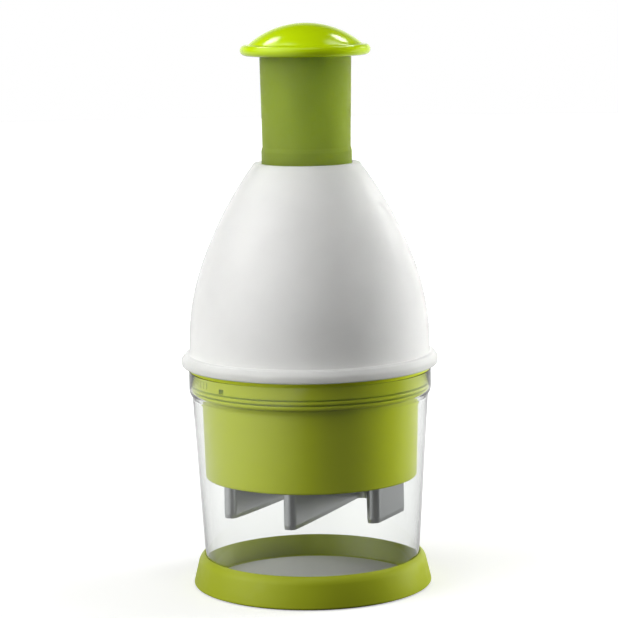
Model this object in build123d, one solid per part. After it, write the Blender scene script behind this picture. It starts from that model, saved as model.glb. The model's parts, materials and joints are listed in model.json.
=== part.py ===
from build123d import *
from math import asin, atan2, cos, degrees, pi, radians, sin, sqrt
import os

# Press-top vegetable chopper. A clear cup stands on a lid with a cutting disc. Over it sits a
# moulded bell that carries a sprung plunger. The plunger drives a folded blade down through a
# sleeve, and a twisted spindle turns the blade a little on each stroke.
# Millimetres, +Z up, origin at the centre of the base's underside, front towards -Y.

# Clearances: between bodies that move, within one body, in a running fit, and at a light push fit
apart = 0.3
same_body_gap = 0.1
running = 0.08
touching = 0.02

# How far the plunger goes down, and what is left above the cutting disc then
stroke = 24.0
board_gap = 1.0

# Base with its foot ring and cutting disc
base_reach = 5.6
base_height = 12.8
base_lean = 0.238
base_shoulder_drop = 3.3
base_lift = 0.4
base_chamfer = 0.8
base_wall = 1.3
base_floor = 1.8
base_floor_top = 3.0
upstand_wall = 1.2
upstand_height = 2.0
grip_depth = 1.9
floor_rib_r = 21.0
floor_rib_width = 1.4
floor_rib_count = 6
disc_thickness = 2.0

# Clear cup
cup_foot_r = 42.95
cup_taper = 0.0631
cup_wall = 1.8
cup_height = 85.2
cup_step_drop = 11.1
cup_step_rise = 2.6
collar_reach = 1.474
collar_wall = 1.0

# Blade guard: sleeve, grooved ring, flange and bayonet collar in one moulding
guard_wall = 1.8
guard_ring_drop = 7.3
guard_ring_step = 2.0
step_inset = 0.4
step_rise = 1.1
groove_rise = 1.7
groove_width = 0.6
groove_depth = 0.4
sleeve_length = 34.2
sleeve_low_gap = 1.28
sleeve_high_gap = 2.04
sleeve_chamfer = 0.8
guard_flange_thickness = 3.0
guard_collar_wall = 1.3
guard_collar_height = 7.0
guard_collar_gap = 0.5
ledge_reach = 1.2
ledge_thickness = 2.0
ledge_rise = 3.4
bayonet_count = 3
bayonet_span = 30.0
bayonet_angle = 30.0
lock_stop_span = 2.0
lock_stop_gap = 0.5
notch_angle = 220.0
notch_width = 5.0
notch_height = 1.6
notch_depth = 0.6
notch_rise = 3.0

# Bell: side arcs, bead and neck, with heights from the underside of the guard's flange
shell_wall = 2.2
bell_inset = 0.64
bell_height = 82.7
widest_rise = 10.1
lower_arc_r = 95.0
lower_arc_sweep = 19.0
neck_rim = 1.2
neck_edge = 0.8
neck_wall = 2.1
neck_gap = 0.4
bead_reach = 3.34
bead_rise = 3.2
bead_foot_rise = 0.5
bead_foot_wall = 1.2
bead_clearance = 0.4
crease_rise = 6.6
crease_flare = 0.3
boss_margin = 2.0
boss_wall = 1.9
boss_count = 3
boss_angle = 90.0
rail_width = 1.6
rail_overrun = 2.0
gusset_height = 8.9
gusset_count = 4
gusset_angle = 45.0
inner_chords = 3

# Inner core: plate, skirt with bayonet lugs, and guide tube
plate_headroom = 1.2
plate_thickness = 2.5
plate_gap = 0.2
skirt_wall = 1.6
guide_bore_r = 6.0
guide_wall = 2.5
guide_height = 47.5
core_rib_count = 6
core_rib_width = 1.4
core_rib_depth = 3.0
bush_length = 6.0
bush_flange = 1.2

# Plunger tube, stop buffer and knob cap, with the cap's heights from the tube's top end
tube_waist_r = 17.6
tube_wall = 1.4
tube_flare = 0.7
tube_foot_depth = 18.5
tube_length = 62.6
guide_land_reach = 0.5
guide_land_rise = 5.0
guide_land_fade = 1.5
tube_flange_reach = 1.9
tube_flange_thickness = 2.2
key_reach = 3.1
key_width = 4.0
buffer_thickness = 1.6
web_depth = 19.6
web_thickness = 3.0
spring_seat_wall = 1.4
spring_seat_height = 3.0
cap_rise = 11.4
dome_r = 35.0
dome_inset = 3.5
cap_overhang = 7.7
cap_rim_centre = 0.9
cap_rim_inset = 2.2
cap_rim_rise = 2.1
cap_lip = 1.5
cap_wall = 2.0
plug_length = 8.0
plug_wall = 1.8
cap_rib_count = 6
cap_rib_width = 1.4

# Main spring
spring_r = 12.0
spring_wire_r = 0.8
spring_turns = 7
wire_sides = 5

# Index drive: twisted spindle, nut, ratchet ring and cover
spindle_r = 4.0
journal_r = 3.2
square_side = 5.5
square_play = 0.24
square_reserve = 2.3
twist_per_mm = -1.25
square_step = 6.0
spindle_flange_r = 6.0
spindle_flange_thickness = 2.0
nut_cup_r = 10.0
nut_cup_wall = 2.2
nut_cup_depth = 11.4
nut_cover_thickness = 1.6
ear_gap = 0.5
ratchet_height = 1.8
ratchet_bore_r = 4.6
tooth_count = 12
tooth_height = 1.0
tooth_width = 1.35
tooth_inner_r = 5.2
nut_r = 7.6
nut_height = 4.2
nut_spring_r = 6.9
nut_spring_wire_r = 0.4
nut_spring_turns = 2
swivel_washer_r = 6.5
swivel_washer_thickness = 1.0
swivel_screw_r = 1.5
swivel_head_r = 3.2
swivel_head_height = 2.0
swivel_bite = 9.0

# Blade: a strip folded into a zigzag, seen from above, then its carrier and carrier cover
blade_thickness = 0.6
bend_r = 2.3
blade_turned = -14.0
edge_height = 1.6
edge_thickness = 0.12
blade_end = (36.0, 8.6)
outer_bend = (29.2, -16.5)
inner_bend = (14.0, 30.0)
centre_bend = (0.0, -34.6)
carrier_play = 2.1
carrier_thickness = 5.0
carrier_headroom = 3.0
blade_seat_depth = 3.5
blade_slot_play = 0.1
carrier_cover_r = 30.0
carrier_cover_thickness = 3.0
carrier_screw_circle_r = 20.0
carrier_screw_count = 3
carrier_screw_angle = 76.0
carrier_screw_bite = 6.5

# Small screws
screw_r = 1.2
screw_head_r = 2.4
screw_head_height = 1.6
screw_bite = 8.0


def cup_r(z):
    """Outer radius of the cup's tapered wall."""
    return cup_foot_r + cup_taper * (z - cup_foot_z)


def base_outer_r(z):
    """Outer radius of the base below its shoulder."""
    return base_r - base_lean * (z - base_lift)


# Base and cup
cup_foot_z = base_floor_top + apart
base_r = cup_foot_r + base_reach
base_shoulder_z = base_height - base_shoulder_drop
grip_top = base_lift + grip_depth
grip_inner_r = cup_r(base_lift) + apart + base_wall
grip_outer_r = base_outer_r(grip_top) - base_wall
upstand_r = cup_foot_r - cup_wall - apart
upstand_top = base_floor_top + upstand_height
disc_top = base_floor_top + disc_thickness
cup_rim_z = cup_foot_z + cup_height
cup_step_z = cup_rim_z - cup_step_drop
collar_r = cup_r(cup_step_z) + collar_reach

# Guard
guard_flange_z = cup_rim_z + apart
guard_flange_top = guard_flange_z + guard_flange_thickness
guard_flange_r = collar_r - apart
guard_ring_r = collar_r - collar_wall - apart
guard_ring_bottom_z = cup_rim_z - guard_ring_drop
groove_z = guard_ring_bottom_z + groove_rise
notch_z = guard_ring_bottom_z + notch_rise
sleeve_top_z = guard_ring_bottom_z - guard_ring_step
sleeve_bottom_z = sleeve_top_z - sleeve_length
sleeve_top_r = cup_r(sleeve_top_z) - cup_wall - sleeve_high_gap
sleeve_bottom_r = cup_r(sleeve_bottom_z) - cup_wall - sleeve_low_gap

# Bell and bayonet
bell_r = collar_r - bell_inset
bell_widest_z = guard_flange_z + widest_rise
bead_r = bell_r + bead_reach
bead_z = guard_flange_z + bead_rise
bead_inner_r = guard_flange_r + bead_clearance
bead_bottom_r = bead_inner_r + bead_foot_wall
bead_bottom_z = guard_flange_z + bead_foot_rise
crease_z = guard_flange_z + crease_rise
neck_top_z = guard_flange_z + bell_height
guard_collar_r = bell_r - shell_wall - guard_collar_gap
guard_collar_bore = guard_collar_r - guard_collar_wall
guard_collar_top = guard_flange_top + guard_collar_height
ledge_z = guard_flange_top + ledge_rise

# Core
plate_z = guard_collar_top + plate_headroom
plate_top = plate_z + plate_thickness
plate_r = bell_r - shell_wall - plate_gap
skirt_r = guard_collar_bore - ledge_reach - apart
skirt_bottom_z = guard_flange_top + plate_headroom
boss_circle_r = skirt_r - skirt_wall - screw_head_r - boss_margin
guide_top_z = plate_top + guide_height

# Plunger and neck
guide_land_r = tube_waist_r + guide_land_reach
guide_land_z = neck_top_z + guide_land_rise
tube_waist_z = guide_land_z + guide_land_fade
tube_top_r = tube_waist_r + tube_flare
tube_bore_r = tube_waist_r - tube_wall
tube_bottom_z = neck_top_z - tube_foot_depth
tube_top_z = tube_bottom_z + tube_length
neck_bore = guide_land_r + neck_gap
neck_tube_r = neck_bore + neck_wall
neck_r = neck_tube_r + neck_rim
tube_flange_r = neck_bore + tube_flange_reach
flange_top = tube_bottom_z + tube_flange_thickness
neck_tube_bottom_z = flange_top + buffer_thickness + apart
rail_bottom_z = tube_bottom_z - stroke - rail_overrun
rail_top_z = neck_tube_bottom_z + gusset_height
web_z = tube_top_z - web_depth
web_top = web_z + web_thickness

# Knob cap
cap_top_z = tube_top_z + cap_rise
cap_rim_z = tube_top_z + cap_rim_centre
cap_under_z = tube_top_z - cap_lip
cap_rim_r = tube_top_r + cap_overhang
dome_foot_r = cap_rim_r - dome_inset

# Index drive, carrier and blade
screw_hole_r = screw_r + same_body_gap
nut_cup_bottom_z = plate_z - nut_cup_depth
nut_cover_z = nut_cup_bottom_z - nut_cover_thickness
ear_circle_r = nut_cup_r + nut_cup_wall + screw_hole_r + ear_gap
ratchet_top = nut_cup_bottom_z + ratchet_height
nut_z = ratchet_top + tooth_height + same_body_gap
nut_top = nut_z + nut_height
square_top_z = nut_top + stroke + square_reserve
cover_top = nut_cover_z - carrier_headroom
carrier_top = cover_top - carrier_cover_thickness
carrier_z = carrier_top - carrier_thickness
carrier_r = sleeve_bottom_r - guard_wall - carrier_play
blade_bottom_z = disc_top + stroke + board_gap


def section(*edges):
    """A face on the XZ plane inside edges drawn as (radius, height)."""
    return Plane.XZ * make_face(Curve() + list(edges))


def turned(*corners):
    """A solid of revolution from straight-sided (radius, height) corners."""
    return revolve(section(Polyline(*corners, close=True)), Axis.Z)


def ring(inner_r, outer_r, low_z, high_z):
    return turned((inner_r, low_z), (outer_r, low_z), (outer_r, high_z), (inner_r, high_z))


def rod(radius, low_z, high_z):
    return Pos(0, 0, low_z) * extrude(Circle(radius), high_z - low_z)


def block(low_x, high_x, width, low_z, high_z):
    """A box that lies along +X and is centred on it sideways."""
    size = (high_x - low_x, width, high_z - low_z)
    return Pos(low_x, 0, low_z) * Box(*size, align=(Align.MIN, Align.CENTER, Align.MIN))


def sector(inner_r, outer_r, low_z, high_z, middle, span):
    """Part of a ring, span degrees wide about the angle middle."""
    corners = ((inner_r, low_z), (outer_r, low_z), (outer_r, high_z), (inner_r, high_z))
    swept = revolve(section(Polyline(*corners, close=True)), Axis.Z, span)
    return Rot(0, 0, middle - span / 2) * swept


def around(shape, count, start=0.0):
    """Copies of a shape evenly turned about Z."""
    return [Rot(0, 0, start + 360 * i / count) * shape for i in range(count)]


def holes(circle_r, count, start, low_z, high_z):
    """Screw holes on a circle."""
    return around(Pos(circle_r, 0, 0) * rod(screw_hole_r, low_z, high_z), count, start)


def screws(circle_r, count, start, seat_z, bite, down):
    """Pan-head screws on a circle, heads on seat_z, with their shanks down or up from it."""
    one = rod(screw_r, 0, bite) + rod(screw_head_r, -screw_head_height, 0)
    placed = Pos(circle_r, 0, seat_z) * Rot(180 if down else 0, 0, 0) * one
    return Compound(around(placed, count, start))


def twisted_square(side, low_z, high_z):
    """A square bar turned about Z in step with the spindle's twist at every height."""
    steps = max(1, round((high_z - low_z) / square_step))
    heights = [low_z + (high_z - low_z) * i / steps for i in range(steps + 1)]
    squares = [
        Pos(0, 0, z) * Rot(0, 0, twist_per_mm * (z - cover_top)) * Rectangle(side, side)
        for z in heights
    ]
    return loft(squares, ruled=True)


def biarc(start, start_way, end, end_way):
    """Two arcs that leave one point and reach another in the given directions."""
    across = end - start
    ways = start_way + end_way
    spread = 2 * (1 - start_way.dot(end_way))
    reach = (sqrt(across.dot(ways) ** 2 + spread * across.dot(across)) - across.dot(ways)) / spread
    low = start + start_way * reach
    high = end - end_way * reach
    middle = (low + high) * 0.5
    return [
        Edge.make_tangent_arc(start, start_way, middle),
        Edge.make_tangent_arc(middle, (high - low).normalized(), end),
    ]


def coil(mean_r, wire_r, low_z, high_z, turns):
    """One unbroken tube wound about Z on half-turn biarcs; its least gap to itself is printed."""
    rise = (high_z - low_z - 2 * wire_r) / (2 * turns)
    slope = atan2(rise, mean_r * pi)
    edges = []
    for step in range(2 * turns):
        ends = []
        for half_turns in (step, step + 1):
            angle = half_turns * pi
            height = low_z + wire_r + rise * half_turns
            ends.append(Vector(mean_r * cos(angle), mean_r * sin(angle), height))
            ends.append(Vector(-sin(angle) * cos(slope), cos(angle) * cos(slope), sin(slope)))
        edges += biarc(*ends)
    path = Wire(edges)
    profile = Plane(path @ 0, x_dir=(1, 0, 0), z_dir=path % 0) * RegularPolygon(wire_r, wire_sides)
    per_turn = 48
    places = [path @ (i / (per_turn * turns)) for i in range(per_turn * turns + 1)]
    gaps = [
        (places[i] - places[j]).length
        for i in range(len(places))
        for j in range(i + per_turn // 2, min(i + 2 * per_turn, len(places)))
    ]
    print("least gap of a coil to itself", round(min(gaps) - 2 * wire_r, 2))
    return sweep(profile, path, clean=False)


def base_lid():
    """The lid that closes the cup from below, with the cup's socket and the disc's upstand."""
    floor_low = base_floor_top - base_floor
    lip_r = cup_r(base_height) + apart
    socket_r = cup_r(base_floor_top) + apart
    shoulder = (base_outer_r(base_shoulder_z), base_shoulder_z)
    lip = (lip_r + same_body_gap, base_height)
    body = revolve(
        section(
            Polyline(
                (0, floor_low),
                (socket_r, floor_low),
                (socket_r, base_lift),
                (base_r - base_chamfer, base_lift),
                (base_outer_r(base_lift + base_chamfer), base_lift + base_chamfer),
                shoulder,
            ),
            TangentArc(shoulder, lip, tangent=(-base_lean, 1)),
            Polyline(
                lip,
                (lip_r, base_height),
                (socket_r, base_floor_top),
                (upstand_r, base_floor_top),
                (upstand_r, upstand_top),
                (upstand_r - upstand_wall, upstand_top),
                (upstand_r - upstand_wall, base_floor_top),
                (0, base_floor_top),
                (0, floor_low),
            ),
        ),
        Axis.Z,
    )
    seat = ring(grip_inner_r, grip_outer_r, base_lift, grip_top)
    spoke = block(floor_rib_r - floor_rib_width / 2, socket_r, floor_rib_width, base_lift, floor_low)
    hoop = ring(floor_rib_r - floor_rib_width, floor_rib_r, base_lift, floor_low)
    return body - seat + hoop + around(spoke, floor_rib_count)


def grip_ring():
    """The soft ring that the chopper stands on, set in a groove under the base's wall."""
    return ring(grip_inner_r + touching, grip_outer_r - touching, 0, grip_top - touching)


def cutting_disc():
    return rod(upstand_r - upstand_wall - apart, base_floor_top, disc_top)


def clear_cup():
    """An open-ended tapered cup that steps out into a collar round the guard's ring."""
    collar_low = cup_step_z + cup_step_rise
    bore_r = collar_r - collar_wall
    return turned(
        (cup_foot_r - cup_wall, cup_foot_z),
        (cup_foot_r, cup_foot_z),
        (cup_r(cup_step_z), cup_step_z),
        (collar_r, collar_low),
        (collar_r, cup_rim_z),
        (bore_r, cup_rim_z),
        (bore_r, collar_low),
        (cup_r(cup_step_z) - cup_wall, cup_step_z),
    )


def blade_guard():
    """Sleeve, ring, flange and bayonet collar moulded in one."""
    half_wall = guard_wall / 2
    groove_r = guard_ring_r - groove_depth
    body = turned(
        (sleeve_bottom_r - guard_wall, sleeve_bottom_z),
        (sleeve_bottom_r - sleeve_chamfer, sleeve_bottom_z),
        (sleeve_bottom_r, sleeve_bottom_z + sleeve_chamfer),
        (sleeve_top_r, sleeve_top_z),
        (guard_ring_r - step_inset, sleeve_top_z + step_rise),
        (guard_ring_r - step_inset, guard_ring_bottom_z),
        (guard_ring_r, guard_ring_bottom_z),
        (guard_ring_r, groove_z),
        (groove_r, groove_z),
        (groove_r, groove_z + groove_width),
        (guard_ring_r, groove_z + groove_width),
        (guard_ring_r, guard_flange_z),
        (guard_flange_r, guard_flange_z),
        (guard_flange_r, guard_flange_top),
        (guard_collar_r, guard_flange_top),
        (guard_collar_r, guard_collar_top),
        (guard_collar_bore, guard_collar_top),
        (guard_collar_bore, guard_flange_z + half_wall),
        (guard_ring_r - guard_wall, guard_flange_z - half_wall),
        (guard_ring_r - guard_wall, guard_ring_bottom_z + half_wall),
        (sleeve_top_r - guard_wall, sleeve_top_z + half_wall),
    )
    ledge = sector(
        guard_collar_bore - ledge_reach,
        guard_collar_bore + guard_collar_wall / 2,
        ledge_z,
        ledge_z + ledge_thickness,
        bayonet_angle,
        bayonet_span,
    )
    half_notch = notch_height / 2
    notch = block(
        guard_ring_r - notch_depth,
        guard_flange_r,
        notch_width,
        notch_z - half_notch,
        notch_z + half_notch,
    )
    return body + around(ledge, bayonet_count) - Rot(0, 0, notch_angle) * notch


def chords(arcs, count):
    """Corners along tangent arcs, for inner walls that may be straight-sided."""
    return [arc @ (i / count) for arc in arcs for i in range(count)] + [arcs[-1] @ 1]


def bell_side(inset, top_z):
    """The bell's two tangent side arcs, moved inwards by inset, up to the height top_z."""
    sweep = radians(lower_arc_sweep)
    inwards = Vector(-cos(sweep), -sin(sweep))
    outer = JernArc((bell_r, bell_widest_z), (0, 1), lower_arc_r, lower_arc_sweep)
    across = Vector(neck_r, neck_top_z - neck_edge) - outer @ 1
    radius = across.dot(across) / (2 * across.dot(inwards)) - inset
    lower = JernArc((bell_r - inset, bell_widest_z), (0, 1), lower_arc_r - inset, lower_arc_sweep)
    centre_z = (lower @ 1).Y - radius * sin(sweep)
    end_angle = degrees(asin((top_z - centre_z) / radius))
    upper = JernArc(lower @ 1, lower % 1, radius, end_angle - lower_arc_sweep)
    return lower, upper


def bell_solid():
    """The bell's outer form, filled."""
    lower, upper = bell_side(0, neck_top_z - neck_edge)
    crease = (bell_r + crease_flare, crease_z)
    bead_foot = (bead_bottom_r, bead_bottom_z)
    neck_corner = ((upper @ 1).X - 2 * neck_edge, neck_top_z)
    return revolve(
        section(
            Line((0, bead_bottom_z), bead_foot),
            ThreePointArc(bead_foot, (bead_r, bead_z), crease),
            Line(crease, lower @ 0),
            lower,
            upper,
            TangentArc(upper @ 1, neck_corner, tangent=upper % 1),
            Polyline(neck_corner, (0, neck_top_z), (0, bead_bottom_z)),
        ),
        Axis.Z,
    )


def bell_hollow():
    """The space inside the bell's wall, with the wider recess for the guard's flange."""
    top_z = neck_top_z - shell_wall
    low_z = bead_bottom_z - apart
    recess_top = guard_flange_top + apart
    side = chords(bell_side(shell_wall, top_z), inner_chords)
    step = bead_inner_r - side[0].X
    return turned(
        (0, low_z),
        (bead_inner_r, low_z),
        (bead_inner_r, recess_top),
        (bead_inner_r - step, recess_top + step),
        *side,
        (0, top_z),
    )


def outer_shell():
    """The bell with its neck tube, screw bosses, the plunger's key rails and neck gussets."""
    outside = bell_solid()
    shell = outside - bell_hollow()
    shell += ring(neck_bore, neck_tube_r, neck_tube_bottom_z, neck_top_z - shell_wall / 2)
    boss = Pos(boss_circle_r, 0, 0) * rod(screw_hole_r + boss_wall, plate_top, neck_tube_bottom_z)
    rail_y = key_width / 2 + apart + rail_width / 2
    fin = block(neck_tube_r + apart, bell_r, rail_width, rail_bottom_z, rail_top_z)
    gusset = block(neck_tube_r - neck_wall / 2, bell_r, rail_width, neck_tube_bottom_z, rail_top_z)
    inside = around(boss, boss_count, boss_angle) + around(gusset, gusset_count, gusset_angle)
    for side in (-rail_y, rail_y):
        inside += around(Pos(0, side, 0) * (fin + gusset), 2)
    for piece in inside:
        shell += piece & outside
    pilot_top = plate_top + screw_bite
    shell -= holes(boss_circle_r, boss_count, boss_angle, plate_top, pilot_top)
    return shell - rod(neck_bore, neck_tube_bottom_z - apart, neck_top_z + apart)


def inner_core():
    """The plate under the bell, with the guide tube, nut cup, ribs and bayonet skirt."""
    body = ring(guide_bore_r, plate_r, plate_z, plate_top)
    body += ring(guide_bore_r, guide_bore_r + guide_wall, plate_z, guide_top_z)
    body += ring(skirt_r - skirt_wall, skirt_r, skirt_bottom_z, plate_z)
    body += ring(nut_cup_r, nut_cup_r + nut_cup_wall, nut_cup_bottom_z, plate_z)
    ear = Pos(ear_circle_r, 0, 0) * rod(screw_hole_r + boss_wall, nut_cup_bottom_z, plate_z)
    rib = block(
        nut_cup_r + nut_cup_wall / 2,
        skirt_r - skirt_wall / 2,
        core_rib_width,
        plate_z - core_rib_depth,
        plate_z,
    )
    lug_top = ledge_z - apart
    lug_r = guard_collar_bore - apart
    root_r = skirt_r - skirt_wall / 2
    lug = sector(root_r, lug_r, skirt_bottom_z, lug_top, bayonet_angle, bayonet_span)
    stop_angle = bayonet_angle - bayonet_span / 2 - lock_stop_gap - lock_stop_span / 2
    stop_top = ledge_z + ledge_thickness
    stop = sector(root_r, lug_r, skirt_bottom_z, stop_top, stop_angle, lock_stop_span)
    body += around(ear, boss_count, boss_angle) + around(rib, core_rib_count)
    body += around(lug, bayonet_count) + around(stop, bayonet_count)
    body -= rod(nut_cup_r, nut_cup_bottom_z - apart, plate_z)
    body -= holes(boss_circle_r, boss_count, boss_angle, plate_z - apart, plate_top + apart)
    pilot_top = nut_cup_bottom_z + screw_bite
    return body - holes(ear_circle_r, boss_count, boss_angle, nut_cup_bottom_z - apart, pilot_top)


def shaft_bush():
    """A flanged bush in the top of the guide tube that steadies the spindle."""
    bore_r = spindle_r + running
    body = ring(bore_r, guide_bore_r - touching, guide_top_z - bush_length, guide_top_z)
    return body + ring(bore_r, guide_bore_r + guide_wall, guide_top_z, guide_top_z + bush_flange)


def saw_tooth(up):
    """One ratchet tooth along +X, steep on one side, with its root sunk in its ring."""
    sunk = tooth_height / 4
    half = tooth_width / 2
    flank = make_face(
        Polyline((-half, -sunk), (half, -sunk), (half, 0), (-half, tooth_height), close=True)
    )
    tooth = Pos(tooth_inner_r, 0, 0) * extrude(Plane.YZ * flank, nut_r - tooth_inner_r)
    return tooth if up else Rot(180, 0, 0) * tooth


def ratchet_ring():
    body = ring(ratchet_bore_r, nut_cup_r - same_body_gap, nut_cup_bottom_z, ratchet_top)
    return body + around(Pos(0, 0, ratchet_top) * saw_tooth(True), tooth_count)


def index_nut():
    """The nut that the twisted spindle slides through, toothed below."""
    body = rod(nut_r, nut_z, nut_top)
    body += around(Pos(0, 0, nut_z) * saw_tooth(False), tooth_count, 180 / tooth_count)
    bore = twisted_square(square_side + square_play, ratchet_top - apart, nut_top + apart)
    return body - bore


def nut_spring():
    return coil(nut_spring_r, nut_spring_wire_r, nut_top, plate_z, nut_spring_turns)


def nut_cover():
    """The plate that closes the nut cup from below."""
    body = ring(ratchet_bore_r, nut_cup_r + nut_cup_wall, nut_cover_z, nut_cup_bottom_z)
    ear = Pos(ear_circle_r, 0, 0) * rod(screw_hole_r + boss_wall, nut_cover_z, nut_cup_bottom_z)
    body += around(ear, boss_count, boss_angle)
    return body - holes(ear_circle_r, boss_count, boss_angle, nut_cover_z, nut_cup_bottom_z)


def plunger_tube():
    """The pressed tube with its guide land, keyed foot flange and spring web."""
    body = turned(
        (tube_bore_r, tube_bottom_z),
        (tube_flange_r, tube_bottom_z),
        (tube_flange_r, flange_top),
        (guide_land_r, flange_top),
        (guide_land_r, guide_land_z),
        (tube_waist_r, tube_waist_z),
        (tube_top_r, tube_top_z),
        (tube_bore_r, tube_top_z),
    )
    seat_r = spring_r - spring_wire_r - apart
    body += ring(journal_r + running, tube_bore_r + same_body_gap, web_z, web_top)
    body += ring(seat_r - spring_seat_wall, seat_r, web_z - spring_seat_height, web_z)
    key = block(guide_land_r, tube_flange_r + key_reach, key_width, tube_bottom_z, flange_top)
    return body + around(key, 2)


def stop_buffer():
    """A rubber ring on the foot flange that stops the plunger against the neck tube."""
    low_r = guide_land_r + same_body_gap
    return ring(low_r, tube_flange_r - same_body_gap, flange_top, flange_top + buffer_thickness)


def knob_cap():
    """A hollow domed cap with a beaded rim, a plug ring and ribs that sit on the tube's end."""
    centre_z = cap_top_z - dome_r
    hollow_r = dome_r - cap_wall
    plug_r = tube_bore_r - same_body_gap
    plug_inner_r = plug_r - plug_wall
    rim_inner_r = cap_rim_r - cap_rim_inset - cap_wall

    def dome_z(radius, r):
        return centre_z + sqrt(radius**2 - r**2)

    dome_foot = (dome_foot_r, dome_z(dome_r, dome_foot_r))
    rim_top = (cap_rim_r - cap_rim_inset, cap_rim_z + cap_rim_rise)
    rim_foot = (cap_rim_r - cap_rim_inset, cap_under_z)
    outline = section(
        ThreePointArc((0, cap_top_z), (dome_foot_r / 2, dome_z(dome_r, dome_foot_r / 2)), dome_foot),
        Line(dome_foot, rim_top),
        ThreePointArc(rim_top, (cap_rim_r, cap_rim_z), rim_foot),
        Polyline(
            rim_foot,
            (rim_inner_r, cap_under_z),
            (rim_inner_r, dome_z(hollow_r, rim_inner_r)),
            (plug_r, dome_z(hollow_r, plug_r)),
            (plug_r, cap_under_z - plug_length),
            (plug_inner_r, cap_under_z - plug_length),
            (plug_inner_r, dome_z(hollow_r, plug_inner_r)),
            (plug_inner_r / 2, dome_z(hollow_r, plug_inner_r / 2)),
            (0, dome_z(hollow_r, plug_inner_r / 2)),
            (0, cap_top_z),
        ),
    )
    body = revolve(outline, Axis.Z)
    rib_high = dome_z(hollow_r, rim_inner_r) + cap_wall / 2
    rib = block(
        plug_r - plug_wall / 2, rim_inner_r + cap_wall / 2, cap_rib_width, tube_top_z, rib_high
    )
    return body + around(rib, cap_rib_count)


def drive_spindle():
    """Round journal and shaft above, twisted square below, with a flange held in the carrier."""
    shoulder_z = web_z - apart
    journal_top = web_top + apart
    flange_high = carrier_top - same_body_gap
    body = rod(spindle_r, square_top_z, shoulder_z) + rod(journal_r, shoulder_z, journal_top)
    body += twisted_square(square_side, flange_high, square_top_z)
    body += rod(spindle_flange_r, flange_high - spindle_flange_thickness, flange_high)
    pilot_r = swivel_screw_r + same_body_gap
    return body - rod(pilot_r, journal_top - swivel_bite - same_body_gap, journal_top)


def swivel_washer():
    low_z = web_top + apart
    bore_r = swivel_screw_r + same_body_gap
    return ring(bore_r, swivel_washer_r, low_z, low_z + swivel_washer_thickness)


def swivel_screw():
    """The screw that holds the spindle up in the plunger's web and lets it turn."""
    journal_top = web_top + apart
    seat_z = journal_top + swivel_washer_thickness
    shank = rod(swivel_screw_r, journal_top - swivel_bite, seat_z)
    return shank + rod(swivel_head_r, seat_z, seat_z + swivel_head_height)


def folded_strip(half, extra):
    """The zigzag seen from above: straight legs tangent to the bends, half wide to each side."""
    (end_x, end_y), (outer_x, outer_y), (inner_x, inner_y) = blade_end, outer_bend, inner_bend
    stops = [
        (-end_x, end_y),
        (-outer_x, outer_y),
        (-inner_x, inner_y),
        centre_bend,
        (inner_x, inner_y),
        (outer_x, outer_y),
        (end_x, end_y),
    ]
    turns = [0, 1, -1, 1, -1, 1, 0]
    headings = []
    for i in range(len(stops) - 1):
        across = Vector(*stops[i + 1]) - Vector(*stops[i])
        lean = asin((turns[i] - turns[i + 1]) * bend_r / across.length)
        headings.append(atan2(across.Y, across.X) + lean)

    def beside(i, heading, side, along=0.0):
        reach = turns[i] * bend_r + side
        x = stops[i][0] + reach * sin(heading) + along * cos(heading)
        y = stops[i][1] - reach * cos(heading) + along * sin(heading)
        return (x, y)

    edges = []
    for side in (half, -half):
        here = beside(0, headings[0], side, -extra)
        for i in range(1, len(stops) - 1):
            enter = beside(i, headings[i - 1], side)
            middle = beside(i, (headings[i - 1] + headings[i]) / 2, side)
            leave = beside(i, headings[i], side)
            edges += [Line(here, enter), ThreePointArc(enter, middle, leave)]
            here = leave
        edges.append(Line(here, beside(len(stops) - 1, headings[-1], side, extra)))
    for i, heading, along in ((0, headings[0], -extra), (len(stops) - 1, headings[-1], extra)):
        edges.append(Line(beside(i, heading, half, along), beside(i, heading, -half, along)))
    return Rot(0, 0, blade_turned) * make_face(Curve() + edges)


def chopping_blade():
    """The folded strip, bevelled on both faces to its cutting edge."""
    strip = folded_strip(blade_thickness / 2, 0)
    bevel_z = blade_bottom_z + edge_height
    top_z = carrier_z + blade_seat_depth
    edge = Pos(0, 0, blade_bottom_z) * folded_strip(edge_thickness / 2, 0)
    body = Pos(0, 0, bevel_z) * extrude(strip, top_z - bevel_z)
    return body + loft([edge, Pos(0, 0, bevel_z) * strip], ruled=True)


def blade_carrier():
    """The disc that the blade's top edge is set into."""
    slot_top = carrier_z + blade_seat_depth + same_body_gap
    slot = folded_strip(blade_thickness / 2 + blade_slot_play, apart)
    pocket_z = carrier_top - spindle_flange_thickness - 2 * same_body_gap
    body = rod(carrier_r, carrier_z, carrier_top)
    body -= Pos(0, 0, carrier_z) * extrude(slot, slot_top - carrier_z)
    body -= rod(spindle_flange_r + same_body_gap, pocket_z, carrier_top)
    pilot_z = cover_top - carrier_screw_bite - same_body_gap
    screw_circle = (carrier_screw_circle_r, carrier_screw_count, carrier_screw_angle)
    return body - holes(*screw_circle, pilot_z, carrier_top)


def carrier_cover():
    """The plate that traps the spindle's flange and turns with its square."""
    body = rod(carrier_cover_r, carrier_top, cover_top)
    square = twisted_square(square_side + square_play, carrier_top - apart, cover_top + apart)
    screw_circle = (carrier_screw_circle_r, carrier_screw_count, carrier_screw_angle)
    return body - square - holes(*screw_circle, carrier_top, cover_top)


def carrier_screws():
    screw_circle = (carrier_screw_circle_r, carrier_screw_count, carrier_screw_angle)
    return screws(*screw_circle, cover_top, carrier_screw_bite, True)


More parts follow.
